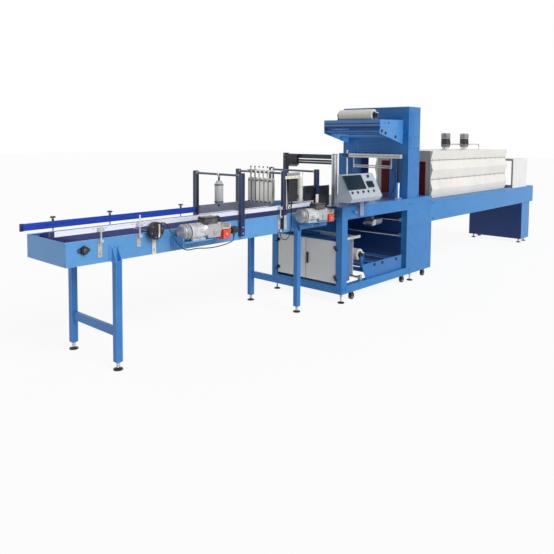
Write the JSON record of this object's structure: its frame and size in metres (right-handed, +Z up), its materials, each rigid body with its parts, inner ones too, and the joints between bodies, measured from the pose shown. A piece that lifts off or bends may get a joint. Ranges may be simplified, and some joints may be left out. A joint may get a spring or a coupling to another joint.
{
  "type": "film packaging machine",
  "caption": "Straight line film wrapping and shrinking machine with infeed conveyor, sealing gantry with film rolls, operator console and hooded shrink tunnel.",
  "frame": {"origin": "on the floor, under the middle of the bounding box", "axes": "+X with the product from infeed to outfeed, -Y the operator's side, +Z up"},
  "size_m": [8.344, 1.196, 2.048],
  "materials": {
    "frame_blue": "satin",
    "door_grey": "satin",
    "cover_white": "satin",
    "belt_dark": "matte",
    "roller_steel": "brushed",
    "black_iron": "satin",
    "black_plastic": "matte",
    "rail_blue": "gloss",
    "rail_white": "gloss",
    "aluminium": "satin",
    "motor_grey": "cast",
    "switch_red": "satin",
    "film_white": "gloss",
    "console_grey": "satin",
    "curtain_red": "matte",
    "cord_black": "satin"
  },
  "bodies": {
    "base": {"conveyor_frame": "frame_blue", "conveyor_belt": "belt_dark", "conveyor_drums": "roller_steel", "flange_bearings": "black_iron", "leg_pair_1": "frame_blue", "leg_pair_2": "frame_blue", "levelling_feet": "black_plastic", "guide_rail_far": "rail_blue", "guide_rail_near": "rail_white", "lane_plate_far": "aluminium", "rail_clamps_near": "aluminium", "rail_clamps_far": "aluminium", "sensor_drum": "black_plastic", "gearmotor_1": "motor_grey", "gearmotor_2": "motor_grey", "motor_bracket_1": "frame_blue", "motor_bracket_2": "frame_blue", "switch_box_1": "switch_red", "switch_box_2": "switch_red", "lane_portal_1": "aluminium", "lane_portal_2": "aluminium", "lane_portal_3": "aluminium", "lane_stops": "aluminium", "side_guards": "black_plastic", "pusher_portal": "aluminium", "wrapper_frame": "frame_blue", "rear_cabinet": "frame_blue", "wrapper_deck": "frame_blue", "cabinet_body": "frame_blue", "cabinet_hinges": "black_iron", "gantry": "frame_blue", "gate_cheeks": "frame_blue", "lift_rods": "roller_steel", "upper_cradle": "frame_blue", "lower_cradle": "frame_blue", "film_web": "film_white", "film_rollers": "roller_steel", "control_panel": "console_grey", "panel_arm": "aluminium", "tunnel_base": "frame_blue", "tunnel_belt": "belt_dark", "tunnel_hood": "cover_white", "hood_covers": "cover_white", "tunnel_curtains": "curtain_red", "fan_motor_1": "motor_grey", "fan_motor_2": "motor_grey", "outlet_hood": "cover_white", "end_support": "frame_blue", "casters": "black_plastic", "sensor_cable": "cord_black", "lane_cable": "cord_black", "cheek_cable": "cord_black"},
    "door_near": {"cabinet_door_near": "door_grey"},
    "door_far": {"cabinet_door_far": "door_grey"},
    "upper_roll": {"film_roll_upper": "film_white"},
    "lower_roll": {"film_roll_lower": "film_white"},
    "seal_carriage": {"seal_bar": "aluminium"}
  },
  "joints": [
    {"name": "cabinet_door_near_hinge", "type": "hinge", "parent": "base", "child": "door_near", "pos_m": [-1.221, -0.31, 0.416], "axis": [0, 0, 1], "range_deg": [0, 105]},
    {"name": "cabinet_door_far_hinge", "type": "hinge", "parent": "base", "child": "door_far", "pos_m": [-1.221, 0.48, 0.416], "axis": [0, 0, -1], "range_deg": [0, 105]},
    {"name": "upper_roll_spin", "type": "hinge", "parent": "base", "child": "upper_roll", "pos_m": [-0.361, 0.04, 1.943], "axis": [0, 1, 0], "continuous": true},
    {"name": "lower_roll_spin", "type": "hinge", "parent": "base", "child": "lower_roll", "pos_m": [-0.687, -0.02, 0.42], "axis": [0, 1, 0], "continuous": true},
    {"name": "seal_bar_lift", "type": "slide", "parent": "base", "child": "seal_carriage", "axis": [0, 0, 1], "range_m": [-0.14, 0]}
  ]
}
